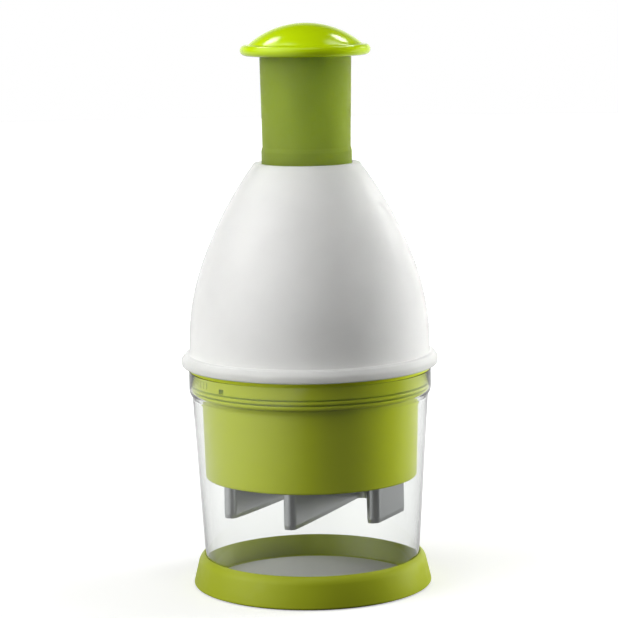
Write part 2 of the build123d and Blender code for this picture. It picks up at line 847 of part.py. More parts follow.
os.makedirs("parts", exist_ok=True)
nodes = {
    "base_lid": base_lid(),
    "grip_ring": grip_ring(),
    "cutting_disc": cutting_disc(),
    "clear_cup": clear_cup(),
    "blade_guard": blade_guard(),
    "outer_shell": outer_shell(),
    "inner_core": inner_core(),
    "shell_screws": screws(boss_circle_r, boss_count, boss_angle, plate_z, screw_bite, False),
    "shaft_bush": shaft_bush(),
    "ratchet_ring": ratchet_ring(),
    "index_nut": index_nut(),
    "nut_spring": nut_spring(),
    "nut_cover": nut_cover(),
    "nut_cover_screws": screws(ear_circle_r, boss_count, boss_angle, nut_cover_z, screw_bite, False),
    "main_spring": coil(spring_r, spring_wire_r, plate_top, web_z, spring_turns),
    "plunger_tube": plunger_tube(),
    "stop_buffer": stop_buffer(),
    "knob_cap": knob_cap(),
    "drive_spindle": drive_spindle(),
    "swivel_washer": swivel_washer(),
    "swivel_screw": swivel_screw(),
    "chopping_blade": chopping_blade(),
    "blade_carrier": blade_carrier(),
    "carrier_cover": carrier_cover(),
    "carrier_screws": carrier_screws(),
}
for name, shape in nodes.items():
    export_step(shape, f"parts/{name}.step")
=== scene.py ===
import json
from math import asin, atan2, cos, degrees, pi, radians, sin, tan

import bmesh
import bpy
from mathutils import Matrix, Vector


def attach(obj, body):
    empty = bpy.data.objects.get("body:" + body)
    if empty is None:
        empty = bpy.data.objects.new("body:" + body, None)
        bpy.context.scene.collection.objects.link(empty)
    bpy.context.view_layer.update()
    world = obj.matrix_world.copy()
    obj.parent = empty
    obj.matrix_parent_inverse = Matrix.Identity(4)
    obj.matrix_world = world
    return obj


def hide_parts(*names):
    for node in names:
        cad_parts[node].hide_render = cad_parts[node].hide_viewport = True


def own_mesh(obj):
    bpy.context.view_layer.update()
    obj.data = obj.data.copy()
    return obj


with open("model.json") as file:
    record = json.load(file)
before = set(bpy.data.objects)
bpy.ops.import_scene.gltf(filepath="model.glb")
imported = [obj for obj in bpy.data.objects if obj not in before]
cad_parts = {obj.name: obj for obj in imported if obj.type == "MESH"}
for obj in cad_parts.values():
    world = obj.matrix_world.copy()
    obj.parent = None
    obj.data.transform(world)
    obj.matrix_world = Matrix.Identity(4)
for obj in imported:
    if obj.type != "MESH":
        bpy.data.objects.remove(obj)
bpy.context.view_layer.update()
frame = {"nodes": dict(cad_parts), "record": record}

# Sizes of the chopper are in millimetres and angles in degrees, and a mesh is made in metres.
# Each part that is modelled here takes the place of its plain solid. The sizes that more than one
# part needs come first, and the others stand beside the part that they shape.
MM = 0.001
SIDES = 192
SHARP_ANGLE = 32

# Tapered wall of the cup
CUP_FOOT_Z = 3.3
CUP_FOOT_R = 42.95
CUP_TAPER = 0.0631

# Floor of the base, and top of the disc that lies on it
BASE_FLOOR_Z = 3.0
DISC_TOP_Z = 5.0

# Underside of the web across the plunger's tube, where the spring ends
WEB_Z = 196.0


def cup_r(z):
    """The outer radius of the cup's wall at a height."""
    return CUP_FOOT_R + CUP_TAPER * (z - CUP_FOOT_Z)


# Outlines are lists of (radius, height) or (radius, height, rounding)


def arc_points(centre, radius, start, end, count):
    """Points on an arc from one angle to another."""
    points = []
    for i in range(count + 1):
        angle = radians(start + (end - start) * i / count)
        points.append((centre[0] + radius * cos(angle), centre[1] + radius * sin(angle)))
    return points


def tangent_arc(start, inwards, end, count):
    """Points from start to end on the arc whose centre lies along inwards from start."""
    across = Vector(end) - Vector(start)
    radius = across.dot(across) / (2 * across.dot(inwards))
    centre = Vector(start) + inwards * radius
    first = degrees(atan2(*(Vector(start) - centre).yx))
    last = degrees(atan2(*(Vector(end) - centre).yx))
    return arc_points(centre, radius, first, last, count)


def rounded(corners, closed=True, steps=5):
    """The outline with each corner that has a rounding turned into an arc."""
    # An arc takes less than half of the straight on either side of its corner
    share = 0.49
    out = []
    count = len(corners)
    for i, corner in enumerate(corners):
        here = Vector(corner[:2])
        radius = corner[2] if len(corner) > 2 else 0
        if not radius or (not closed and i in (0, count - 1)):
            out.append(tuple(here))
            continue
        back = Vector(corners[i - 1][:2]) - here
        ahead = Vector(corners[(i + 1) % count][:2]) - here
        half = back.angle(ahead) / 2
        reach = min(radius / tan(half), share * back.length, share * ahead.length)
        radius = reach * tan(half)
        start = here + back.normalized() * reach
        end = here + ahead.normalized() * reach
        middle = here + (back.normalized() + ahead.normalized()).normalized() * (radius / sin(half))
        a = start - middle
        b = end - middle
        turn = atan2(a.x * b.y - a.y * b.x, a.dot(b))
        for k in range(steps + 1):
            angle = turn * k / steps
            x = a.x * cos(angle) - a.y * sin(angle)
            y = a.x * sin(angle) + a.y * cos(angle)
            out.append((middle.x + x, middle.y + y))
    return out


def new_object(name, bm):
    """An object from a finished mesh, smooth but for its sharp edges."""
    mesh = bpy.data.meshes.new(name)
    bmesh.ops.recalc_face_normals(bm, faces=bm.faces)
    bm.to_mesh(mesh)
    bm.free()
    mesh.polygons.foreach_set("use_smooth", [True] * len(mesh.polygons))
    mesh.set_sharp_from_angle(angle=radians(SHARP_ANGLE))
    obj = bpy.data.objects.new(name, mesh)
    bpy.context.scene.collection.objects.link(obj)
    return obj


def lathe(bm, outline, sides=SIDES, angles=None, relief=None):
    """The outline turned about Z. Relief, if given, changes a radius by its angle and height."""
    if angles is None:
        angles = [360 * i / sides for i in range(sides)]
    rings = []
    for r, z in outline:
        if r < 1e-6:
            rings.append([bm.verts.new((0, 0, z * MM))])
            continue
        ring = []
        for angle in angles:
            here = relief(angle, r, z) if relief else r
            across = cos(radians(angle)), sin(radians(angle))
            ring.append(bm.verts.new((here * MM * across[0], here * MM * across[1], z * MM)))
        rings.append(ring)
    for a, b in zip(rings, rings[1:] + rings[:1]):
        for i in range(len(angles)):
            j = (i + 1) % len(angles)
            # A ring on the axis is one point: faces on it are triangles, and two such rings have none
            corners = [a[i % len(a)], a[j % len(a)], b[j % len(b)], b[i % len(b)]]
            corners = list(dict.fromkeys(corners))
            if len(corners) > 2:
                bm.faces.new(corners)


def skin(bm, rings):
    """Faces between closed rings of points that follow each other, and one on each end."""
    count = len(rings[0])
    for a, b in zip(rings, rings[1:]):
        for i in range(count):
            j = (i + 1) % count
            bm.faces.new((a[i], a[j], b[j], b[i]))
    bm.faces.new(rings[0])
    bm.faces.new(rings[-1])


def sector(bm, corners, middle, span, steps=12):
    """The closed outline turned through span degrees about the angle middle."""
    rings = []
    for i in range(steps + 1):
        angle = radians(middle - span / 2 + span * i / steps)
        ring = []
        for r, z in corners:
            ring.append(bm.verts.new((r * MM * cos(angle), r * MM * sin(angle), z * MM)))
        rings.append(ring)
    skin(bm, rings)


def bar(bm, low_r, high_r, width, low_z, high_z, angle, offset=0.0):
    """A block that lies outwards from the axis at an angle, moved sideways by offset."""
    turn = Matrix.Rotation(radians(angle), 3, "Z")
    rings = []
    for z in (low_z, high_z):
        ring = []
        for x, y in ((low_r, -1), (high_r, -1), (high_r, 1), (low_r, 1)):
            ring.append(bm.verts.new(turn @ Vector((x, offset + y * width / 2, z)) * MM))
        rings.append(ring)
    skin(bm, rings)


def dress(piece, body, material, nodes):
    """Gives a piece its material and its place in the frame."""
    piece.data.materials.clear()
    piece.data.materials.append(material)
    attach(piece, body)
    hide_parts(*nodes)
    return piece


def turned_piece(name, outline, body, material, nodes):
    """A piece that is one turned outline."""
    bm = bmesh.new()
    lathe(bm, outline)
    dress(new_object(name, bm), body, material, nodes)


# Helpers for node trees


def node_material(name):
    """A new material, its node tree and its main shader."""
    material = bpy.data.materials.new(name)
    material.use_nodes = True
    tree = material.node_tree
    shader = tree.nodes["Principled BSDF"]
    return material, tree, shader


def noise(tree, scale, detail=2.0, stretch=(1, 1, 1)):
    """A noise field on the object's own coordinates, in cycles per metre."""
    where = tree.nodes.new("ShaderNodeTexCoord")
    mapping = tree.nodes.new("ShaderNodeMapping")
    mapping.inputs["Scale"].default_value = stretch
    field = tree.nodes.new("ShaderNodeTexNoise")
    field.inputs["Scale"].default_value = scale
    field.inputs["Detail"].default_value = detail
    tree.links.new(where.outputs["Object"], mapping.inputs["Vector"])
    tree.links.new(mapping.outputs["Vector"], field.inputs["Vector"])
    return field.outputs["Fac"]


# The part of a noise field's range that most of it lies in
NOISE_LOW = 0.3
NOISE_HIGH = 0.7


def spread(tree, value, low, high, start=NOISE_LOW, end=NOISE_HIGH):
    """Maps the range from start to end onto the one from low to high, and keeps within it."""
    node = tree.nodes.new("ShaderNodeMapRange")
    node.inputs["From Min"].default_value = start
    node.inputs["From Max"].default_value = end
    node.inputs["To Min"].default_value = low
    node.inputs["To Max"].default_value = high
    tree.links.new(value, node.inputs["Value"])
    return node.outputs["Result"]


def tinted(tree, value, low, high):
    """A colour between two, by a noise field."""
    ramp = tree.nodes.new("ShaderNodeValToRGB")
    for stop, place, colour in zip(ramp.color_ramp.elements, (NOISE_LOW, NOISE_HIGH), (low, high)):
        stop.position = place
        stop.color = (*colour, 1)
    tree.links.new(value, ramp.inputs["Fac"])
    return ramp.outputs["Color"]


def bumped(tree, shader, value, strength, distance):
    """Lets a field stand out from a surface, by a distance in metres."""
    bump = tree.nodes.new("ShaderNodeBump")
    bump.inputs["Strength"].default_value = strength
    bump.inputs["Distance"].default_value = distance
    tree.links.new(value, bump.inputs["Height"])
    tree.links.new(bump.outputs["Normal"], shader.inputs["Normal"])


def join(tree, operation, a, b):
    """A maths node on two sockets or numbers."""
    node = tree.nodes.new("ShaderNodeMath")
    node.operation = operation
    for socket, value in zip(node.inputs, (a, b)):
        if isinstance(value, (int, float)):
            socket.default_value = value
        else:
            tree.links.new(value, socket)
    return node.outputs[0]


def mixed(tree, factor, a, b):
    """The shader a where the factor is 0, and b where it is 1."""
    node = tree.nodes.new("ShaderNodeMixShader")
    for socket, value in zip(node.inputs, (factor, a, b)):
        tree.links.new(value, socket)
    return node.outputs[0]


def added(tree, a, b):
    """Two shaders on top of each other."""
    node = tree.nodes.new("ShaderNodeAddShader")
    tree.links.new(a, node.inputs[0])
    tree.links.new(b, node.inputs[1])
    return node.outputs[0]


def light(tree, strength):
    """White light of its own."""
    node = tree.nodes.new("ShaderNodeEmission")
    tree.links.new(strength, node.inputs["Strength"])
    return node.outputs[0]


# Materials. No roughness may range across 0.27, where smooth surfaces would come out blotched.

PLASTIC_IOR = 1.5

# Fields over the plastic, in cycles per metre
FLOW_SCALE = 35
GLOSS_SCALE = 220
GRAIN_SCALE = 900

# Lowest and highest share of the plastic's colour, of its roughness and of the steel's roughness
COLOUR_SPREAD = (0.97, 1.03)
GLOSS_SPREAD = (0.85, 1.2)
STEEL_SPREAD = (0.86, 1.2)

# Depths of the bumps, in metres
GRAIN_DEPTH = 0.0002
STEEL_DEPTH = 0.0001
CLEAR_DEPTH = 0.0004


def plastic(name, colour, gloss, grain=0.06, specular=0.5):
    """Moulded plastic: a faint flow variation in its colour and gloss, and the tool's fine grain."""
    material, tree, shader = node_material(name)
    low, high = (tuple(c * share for c in colour) for share in COLOUR_SPREAD)
    flow = noise(tree, FLOW_SCALE, 3)
    sheen = spread(tree, noise(tree, GLOSS_SCALE), *(gloss * share for share in GLOSS_SPREAD))
    tree.links.new(tinted(tree, flow, low, high), shader.inputs["Base Color"])
    tree.links.new(sheen, shader.inputs["Roughness"])
    bumped(tree, shader, noise(tree, GRAIN_SCALE, 1), grain, GRAIN_DEPTH)
    shader.inputs["IOR"].default_value = PLASTIC_IOR
    shader.inputs["Specular IOR Level"].default_value = specular
    return material


def let_light_in(material, weight, radius, scale):
    """Lets light spread inside a thin wall, which softens its dark side."""
    shader = material.node_tree.nodes["Principled BSDF"]
    shader.subsurface_method = "BURLEY"
    shader.inputs["Subsurface Weight"].default_value = weight
    shader.inputs["Subsurface Radius"].default_value = radius
    shader.inputs["Subsurface Scale"].default_value = scale


def metal(name, colour, rough, stretch, scale=400, grain=0.08, vary=0.12):
    """Brushed or drawn steel, with its lines along the direction that stretch shortens."""
    material, tree, shader = node_material(name)
    lines = noise(tree, scale, 3, stretch)
    low = tuple(c * (1 - vary) for c in colour)
    tree.links.new(tinted(tree, lines, low, colour), shader.inputs["Base Color"])
    sheen = spread(tree, lines, *(rough * share for share in STEEL_SPREAD))
    tree.links.new(sheen, shader.inputs["Roughness"])
    bumped(tree, shader, lines, grain, STEEL_DEPTH)
    shader.inputs["Metallic"].default_value = 1.0
    return material


def clear(name):
    """Clear styrene, slightly uneven, that lets the light of lamps and matt surfaces through."""
    material, tree, shader = node_material(name)
    shader.inputs["Base Color"].default_value = (0.925, 0.935, 0.925, 1)
    shader.inputs["Transmission Weight"].default_value = 1.0
    shader.inputs["IOR"].default_value = PLASTIC_IOR
    tree.links.new(spread(tree, noise(tree, 60), 0.0, 0.03), shader.inputs["Roughness"])
    bumped(tree, shader, noise(tree, 45, 1), 0.05, CLEAR_DEPTH)
    path = tree.nodes.new("ShaderNodeLightPath")
    either = join(tree, "MAXIMUM", path.outputs["Is Shadow Ray"], path.outputs["Is Diffuse Ray"])
    through = tree.nodes.new("ShaderNodeBsdfTransparent")
    through.inputs["Color"].default_value = (0.95, 0.95, 0.95, 1)
    surface = mixed(tree, either, shader.outputs[0], through.outputs[0])
    tree.links.new(surface, tree.nodes["Material Output"].inputs["Surface"])
    return material


WHITE = plastic("white_gloss", (0.82, 0.82, 0.80), 0.22)
let_light_in(WHITE, 0.8, (1.0, 0.97, 0.94), 0.03)
LIME_CAP = plastic("lime_cap", (0.66, 0.91, 0.001), 0.14)
LIME_TUBE = plastic("lime_tube", (0.30, 0.40, 0.025), 0.52, grain=0.1, specular=0.4)
let_light_in(LIME_TUBE, 1.0, (0.9, 1.0, 0.5), 0.05)
LIME_GUARD = plastic("lime_guard", (0.69, 0.80, 0.02), 0.33, grain=0.08, specular=0.4)
LIME_BASE = plastic("lime_base", (0.40, 0.465, 0.017), 0.38, grain=0.1, specular=0.4)
CLEAR = clear("clear_cup")
INNER = plastic("inner_white", (0.72, 0.72, 0.70), 0.4)
SLIDE = plastic("slide_grey", (0.55, 0.56, 0.56), 0.35)
BOARD = plastic("board_white", (0.74, 0.75, 0.72), 0.45, grain=0.12)
RUBBER = plastic("foot_rubber", (0.06, 0.06, 0.06), 0.7, grain=0.2)
BLADE = metal("blade_steel", (0.68, 0.69, 0.70), 0.34, (1, 1, 0.08), 900, 0.03, 0.05)
SPRING = metal("spring_steel", (0.55, 0.55, 0.56), 0.33, (1, 1, 1))
SCREW = metal("screw_steel", (0.6, 0.6, 0.6), 0.22, (1, 1, 1))

# What each solid wears, by its slot or, for the greens, by its own name
SLOT_MATERIALS = {
    "green_plastic": LIME_GUARD,
    "white_plastic": WHITE,
    "clear_plastic": CLEAR,
    "inner_plastic": INNER,
    "slide_plastic": SLIDE,
    "board_plastic": BOARD,
    "foot_rubber": RUBBER,
    "blade_steel": BLADE,
    "spring_steel": SPRING,
    "screw_steel": SCREW,
}
NODE_MATERIALS = {"base_lid": LIME_BASE, "plunger_tube": LIME_TUBE, "knob_cap": LIME_CAP}
for row in frame["record"]["subparts"]:
    solid = frame["nodes"][row["node"]]
    material = NODE_MATERIALS.get(row["node"], SLOT_MATERIALS[row["material_slot"]])
    solid.data.materials.clear()
    solid.data.materials.append(material)

# Base lid: wall with a rounded shoulder, groove for the foot ring, socket, upstand and ribs

BASE_R = 48.55
BASE_LEAN = 0.238
BASE_LOW_Z = 0.4
BASE_UNDER_Z = 1.2
BASE_TOP_Z = 12.8
SHOULDER_Z = 9.5
LIP_EDGE = 0.1
CUP_GAP = 0.3
GRIP_GROOVE_R = (44.3, 46.8)
GRIP_GROOVE_Z = 2.3
UPSTAND_R = (39.65, 40.85)
RIB_RING_R = (19.6, 21.0)
RIB_R = (20.3, 43.4)
RIB_WIDTH = 1.4
RIB_TOP_Z = 1.4
RIB_COUNT = 6


def base_lid():
    socket_r = cup_r(BASE_FLOOR_Z) + CUP_GAP
    lip_r = cup_r(BASE_TOP_Z) + CUP_GAP
    lip = (lip_r + LIP_EDGE, BASE_TOP_Z)
    shoulder = (BASE_R - BASE_LEAN * (SHOULDER_Z - BASE_LOW_Z), SHOULDER_Z)
    low = rounded([
        (0, BASE_UNDER_Z),
        (socket_r, BASE_UNDER_Z, 0.4),
        (socket_r, BASE_LOW_Z, 0.3),
        (GRIP_GROOVE_R[0], BASE_LOW_Z),
        (GRIP_GROOVE_R[0], GRIP_GROOVE_Z),
        (GRIP_GROOVE_R[1], GRIP_GROOVE_Z),
        (GRIP_GROOVE_R[1], BASE_LOW_Z),
        (BASE_R, BASE_LOW_Z, 1.5),
        shoulder,
    ], closed=False)
    high = rounded([
        lip,
        (lip_r, BASE_TOP_Z - 0.3, 0.3),
        (socket_r, BASE_FLOOR_Z, 0.5),
        (UPSTAND_R[1], BASE_FLOOR_Z, 0.4),
        (UPSTAND_R[1], DISC_TOP_Z, 0.3),
        (UPSTAND_R[0], DISC_TOP_Z, 0.3),
        (UPSTAND_R[0], BASE_FLOOR_Z),
        (0, BASE_FLOOR_Z),
    ], closed=False)
    side = tangent_arc(shoulder, Vector((-1, -BASE_LEAN)).normalized(), lip, 12)
    rib_ring = rounded([
        (RIB_RING_R[0], BASE_LOW_Z, 0.2),
        (RIB_RING_R[1], BASE_LOW_Z, 0.2),
        (RIB_RING_R[1], RIB_TOP_Z),
        (RIB_RING_R[0], RIB_TOP_Z),
    ])
    bm = bmesh.new()
    lathe(bm, low + side[1:-1] + high)
    lathe(bm, rib_ring, SIDES // 2)
    for k in range(RIB_COUNT):
        bar(bm, *RIB_R, RIB_WIDTH, BASE_LOW_Z, RIB_TOP_Z, 360 * k / RIB_COUNT)
    dress(new_object("base_lid_moulding", bm), "base", LIME_BASE, ["base_lid"])


base_lid()

# Cutting disc, which lies on the base's floor

DISC_R = 39.3

turned_piece(
    "cutting_disc_board",
    rounded([
        (0, BASE_FLOOR_Z),
        (DISC_R, BASE_FLOOR_Z, 0.3),
        (DISC_R, DISC_TOP_Z, 0.5),
        (0, DISC_TOP_Z),
    ], closed=False),
    "base",
    BOARD,
    ["cutting_disc"],
)

# Clear cup with a rounded rim. Its step is parallel inside and out, so no dark line forms in it.

CUP_WALL = 1.8
CUP_STEP_Z = 77.4
CUP_RIM_Z = 88.5
COLLAR_LOW_Z = 80.0
COLLAR_R = 48.9
COLLAR_WALL = 0.5

turned_piece(
    "clear_cup_body",
    rounded([
        (CUP_FOOT_R - CUP_WALL, CUP_FOOT_Z, 0.5),
        (CUP_FOOT_R, CUP_FOOT_Z, 0.6),
        (cup_r(CUP_STEP_Z), CUP_STEP_Z, 3.5),
        (COLLAR_R, COLLAR_LOW_Z, 3.5),
        (COLLAR_R, CUP_RIM_Z, 0.5),
        (COLLAR_R - COLLAR_WALL, CUP_RIM_Z, 0.4),
        (COLLAR_R - COLLAR_WALL, COLLAR_LOW_Z + 0.26, 2.8),
        (cup_r(CUP_STEP_Z) - COLLAR_WALL - 0.1, CUP_STEP_Z + 0.2, 2.8),
    ], steps=6),
    "cup",
    CLEAR,
    ["clear_cup"],
)

# Blade guard: sleeve, grooved ring with a notch and ticks, flange and bayonet collar

SLEEVE_BORE = 40.7
SLEEVE_LOW_R = 42.5
SLEEVE_LOW_Z = 45.0
SLEEVE_TOP_R = 43.9
SLEEVE_TOP_Z = 78.5
RING_R = 48.3
RING_BORE = 45.3
LIP_INSET = 0.5
LOW_GROOVE_Z = (80.8, 81.6)
LOW_GROOVE_DEPTH = 2.6
HIGH_GROOVE_Z = (82.7, 83.55)
HIGH_GROOVE_DEPTH = 2.2
GROOVE_EDGE = 0.05
FLANGE_R = 48.8
FLANGE_Z = 88.8
FLANGE_TOP_Z = 91.8
BAYONET_R = 45.76
BAYONET_BORE = 44.46
BAYONET_TOP_Z = 98.8
LEDGE_OUTLINE = ((43.26, 95.2), (45.0, 95.2), (45.0, 97.2), (43.26, 97.2))
LEDGE_COUNT = 3
LEDGE_ANGLE = 30
LEDGE_SPAN = 30
GUARD_SIDES = 180

# Marks in the ring: their angles, half their width as an angle, their two heights and their depth.
# The points beside an edge of a mark lie this far from it, in millimetres or in degrees.
MARK_EDGE = 0.04
NOTCH = (224.0,), degrees(1.2 / RING_R), (83.8, 85.6), 2.6
TICKS = (204.0, 207.0, 210.0, 213.0), degrees(0.3 / RING_R), (84.6, 87.2), 0.3


def guard_relief(angle, r, z):
    """The radius at a place on the guard, less where a mark is pressed into its ring."""
    if r < RING_R - 0.01:
        return r
    for middles, half, (low_z, high_z), depth in (NOTCH, TICKS):
        if low_z < z < high_z and any(abs(angle - middle) < half for middle in middles):
            return r - depth
    return r


def guard():
    outside = rounded([
        (SLEEVE_BORE, SLEEVE_LOW_Z, 0.5),
        (SLEEVE_LOW_R, SLEEVE_LOW_Z, 1.1),
        (SLEEVE_TOP_R, SLEEVE_TOP_Z, 0.8),
        (RING_R - 0.8, 79.2, 0.8),
        (RING_R - LIP_INSET, 80.1, 0.6),
        (RING_R - LIP_INSET, LOW_GROOVE_Z[0], 0.2),
        (RING_R - LOW_GROOVE_DEPTH, LOW_GROOVE_Z[0] + GROOVE_EDGE),
        (RING_R - LOW_GROOVE_DEPTH, LOW_GROOVE_Z[1] - GROOVE_EDGE),
        (RING_R, LOW_GROOVE_Z[1], 0.15),
        (RING_R, HIGH_GROOVE_Z[0], 0.15),
        (RING_R - HIGH_GROOVE_DEPTH, HIGH_GROOVE_Z[0] + GROOVE_EDGE),
        (RING_R - HIGH_GROOVE_DEPTH, HIGH_GROOVE_Z[1] - GROOVE_EDGE),
        (RING_R, HIGH_GROOVE_Z[1], 0.1),
    ], closed=False)
    # Rings of points just below and above each end of the marks
    heights = sorted(z + d for z in (*NOTCH[2], *TICKS[2]) for d in (-MARK_EDGE, MARK_EDGE))
    band = [(RING_R, z) for z in heights]
    inside = rounded([
        (RING_R, 88.3, 0.1),
        (RING_R, FLANGE_Z),
        (FLANGE_R, FLANGE_Z, 0.3),
        (FLANGE_R, FLANGE_TOP_Z, 0.3),
        (BAYONET_R, FLANGE_TOP_Z, 0.2),
        (BAYONET_R, BAYONET_TOP_Z, 0.4),
        (BAYONET_BORE, BAYONET_TOP_Z, 0.4),
        (BAYONET_BORE, 89.7, 0.5),
        (RING_BORE, 87.9, 0.5),
        (RING_BORE, 82.1, 0.5),
        (42.1, 80.1, 1.0),
        (SLEEVE_BORE, SLEEVE_LOW_Z + 0.4),
    ], closed=False)
    # Even angles, with those near a mark's sides moved to just inside and outside each side
    angles = {360 * i / GUARD_SIDES for i in range(GUARD_SIDES)}
    for middles, half, _, _ in (NOTCH, TICKS):
        for middle in middles:
            angles = {a for a in angles if abs(a - middle) > half + 0.2}
            for d in (half - MARK_EDGE, half + MARK_EDGE):
                angles |= {middle - d, middle + d}
    bm = bmesh.new()
    lathe(bm, outside + band + inside, angles=sorted(angles), relief=guard_relief)
    for k in range(LEDGE_COUNT):
        sector(bm, LEDGE_OUTLINE, LEDGE_ANGLE + 360 * k / LEDGE_COUNT, LEDGE_SPAN)
    dress(new_object("guard_moulding", bm), "guard", LIME_GUARD, ["blade_guard"])


guard()

# Bell: bead, crease and two side arcs, with the neck tube, screw bosses and key rails inside

BELL_R = 48.46
BELL_WIDEST_Z = 98.9
LOWER_ARC_R = 95.0
LOWER_SWEEP = 19.0
SHELL_WALL = 2.2
NECK_R = 21.8
NECK_TOP_Z = 171.5
NECK_EDGE = 0.8
NECK_BORE = 18.5
NECK_TUBE_R = 20.6
NECK_TUBE_LOW_Z = 157.1
BEAD_FOOT_Z = 90.1
BEAD_BORE = 49.2
BOSS_OUTLINE = ((30.2, 102.5), (36.2, 102.5), (36.2, 141.0), (30.2, 152.0))
BOSS_COUNT = 3
BOSS_ANGLE = 90
BOSS_SPAN = 9
RAIL_R = (20.9, 30.0)
RAIL_WIDTH = 1.6
RAIL_Z = (127.0, 158.0)
RAIL_OFFSET = 3.1


def bell_side(inset, top_z):
    """The bell's side moved inwards by inset, from its widest height up to top_z."""
    sweep = radians(LOWER_SWEEP)
    centre = Vector((BELL_R - LOWER_ARC_R, BELL_WIDEST_Z))
    inwards = Vector((-cos(sweep), -sin(sweep)))
    meeting = centre - inwards * LOWER_ARC_R
    across = Vector((NECK_R, NECK_TOP_Z - NECK_EDGE)) - meeting
    radius = across.dot(across) / (2 * across.dot(inwards))
    high_centre = meeting + inwards * radius
    end = degrees(asin((top_z - high_centre.y) / (radius - inset)))
    lower = arc_points(centre, LOWER_ARC_R - inset, 0, LOWER_SWEEP, 20)
    return lower + arc_points(high_centre, radius - inset, LOWER_SWEEP, end, 28)[1:]


def bell():
    outer = bell_side(0, NECK_TOP_Z - NECK_EDGE)
    inner = bell_side(SHELL_WALL, NECK_TOP_Z - SHELL_WALL)
    bead = rounded([
        (50.35, BEAD_FOOT_Z, 0.3),
        (51.6, 90.5, 1.0),
        (51.84, 93.0, 1.6),
        (50.3, 95.0, 1.2),
        (48.72, 95.35, 0.45),
        (BELL_R + 0.05, 97.0),
    ], closed=False)
    neck = rounded([
        outer[-1],
        (NECK_R - 0.35, NECK_TOP_Z, 0.6),
        (NECK_BORE, NECK_TOP_Z, 0.4),
        (NECK_BORE, NECK_TUBE_LOW_Z, 0.3),
        (NECK_TUBE_R, NECK_TUBE_LOW_Z, 0.3),
        (NECK_TUBE_R, 169.0),
    ], closed=False)
    foot = [(inner[0][0], 95.0), (BEAD_BORE, 92.1), (BEAD_BORE, BEAD_FOOT_Z)]
    bm = bmesh.new()
    lathe(bm, bead + outer + neck[1:] + inner[:-1][::-1] + foot)
    for k in range(BOSS_COUNT):
        sector(bm, BOSS_OUTLINE, BOSS_ANGLE + 360 * k / BOSS_COUNT, BOSS_SPAN, 4)
    for angle in (0, 180):
        for offset in (-RAIL_OFFSET, RAIL_OFFSET):
            bar(bm, *RAIL_R, RAIL_WIDTH, *RAIL_Z, angle, offset)
    dress(new_object("bell_moulding", bm), "head", WHITE, ["outer_shell"])


bell()

# Plunger tube with its guide land, foot flange, web and spring seat

TUBE_BORE = 16.2
TUBE_LOW_Z = 153.0
TUBE_TOP_Z = 215.6
TUBE_WAIST_R = 17.65
TUBE_TOP_R = 18.3
LAND_R = 18.1
LAND_TOP_Z = 176.3
FOOT_FLANGE_R = 20.4
FOOT_FLANGE_TOP_Z = 155.2
WEB_THICKNESS = 3.0
WEB_HOLE_R = 3.3
SEAT_R = (9.5, 10.9)
SEAT_DEPTH = 3.0

turned_piece(
    "plunger_tube_moulding",
    rounded([
        (TUBE_BORE, TUBE_LOW_Z, 0.3),
        (FOOT_FLANGE_R, TUBE_LOW_Z, 0.4),
        (FOOT_FLANGE_R, FOOT_FLANGE_TOP_Z, 0.3),
        (LAND_R, FOOT_FLANGE_TOP_Z, 0.3),
        (LAND_R, LAND_TOP_Z, 1.5),
        (TUBE_WAIST_R, LAND_TOP_Z + 1.6, 2.5),
        (TUBE_TOP_R, TUBE_TOP_Z),
        (TUBE_BORE, TUBE_TOP_Z),
        (TUBE_BORE, WEB_Z + WEB_THICKNESS, 0.6),
        (WEB_HOLE_R, WEB_Z + WEB_THICKNESS),
        (WEB_HOLE_R, WEB_Z),
        (SEAT_R[0], WEB_Z),
        (SEAT_R[0], WEB_Z - SEAT_DEPTH, 0.3),
        (SEAT_R[1], WEB_Z - SEAT_DEPTH, 0.3),
        (SEAT_R[1], WEB_Z),
        (TUBE_BORE, WEB_Z, 0.6),
    ]),
    "plunger",
    LIME_TUBE,
    ["plunger_tube"],
)

# Knob cap: low dome, soft hollow round it and a thick rolled rim, with the plug ring below

CAP_TOP_Z = 227.0
CAP_UNDER_Z = 214.1
DOME_R = 35.0
DOME_EDGE_ANGLE = 51.5
ROLL_CENTRE = (23.85, 216.35)
ROLL_R = 2.15
PLUG_R = (14.3, 16.1)
PLUG_LOW_Z = 206.1
CAP_RIB_R = (15.2, 22.4)
CAP_RIB_WIDTH = 1.4
CAP_RIB_Z = (215.7, 217.6)
CAP_RIB_COUNT = 6


def knob_cap():
    dome = arc_points((0, CAP_TOP_Z - DOME_R), DOME_R, 90, DOME_EDGE_ANGLE, 24)
    rim = rounded([
        dome[-1],
        (22.5, 218.75, 0.9),
        (23.1, 218.4, 0.5),
        *arc_points(ROLL_CENTRE, ROLL_R, 100, -75, 16),
        (23.7, CAP_UNDER_Z, 0.4),
        (21.8, CAP_UNDER_Z, 0.4),
        (21.8, 216.8, 1.0),
        (PLUG_R[1], 220.6, 0.5),
        (PLUG_R[1], PLUG_LOW_Z, 0.4),
        (PLUG_R[0], PLUG_LOW_Z, 0.4),
        (PLUG_R[0], 221.7, 1.0),
        (0, 223.6),
    ], closed=False, steps=8)
    bm = bmesh.new()
    lathe(bm, dome + rim[1:])
    for k in range(CAP_RIB_COUNT):
        bar(bm, *CAP_RIB_R, CAP_RIB_WIDTH, *CAP_RIB_Z, 360 * k / CAP_RIB_COUNT)
    dress(new_object("knob_cap_moulding", bm), "plunger", LIME_CAP, ["knob_cap"])


knob_cap()

# Main spring: round wire wound with a closed turn at each end

SPRING_R = 12.0
SPRING_WIRE_R = 0.8
SPRING_LOW_Z = 102.5
SPRING_TURNS = 7
CLOSED_PITCH = 1.75
STEPS_PER_TURN = 40
WIRE_SIDES = 12

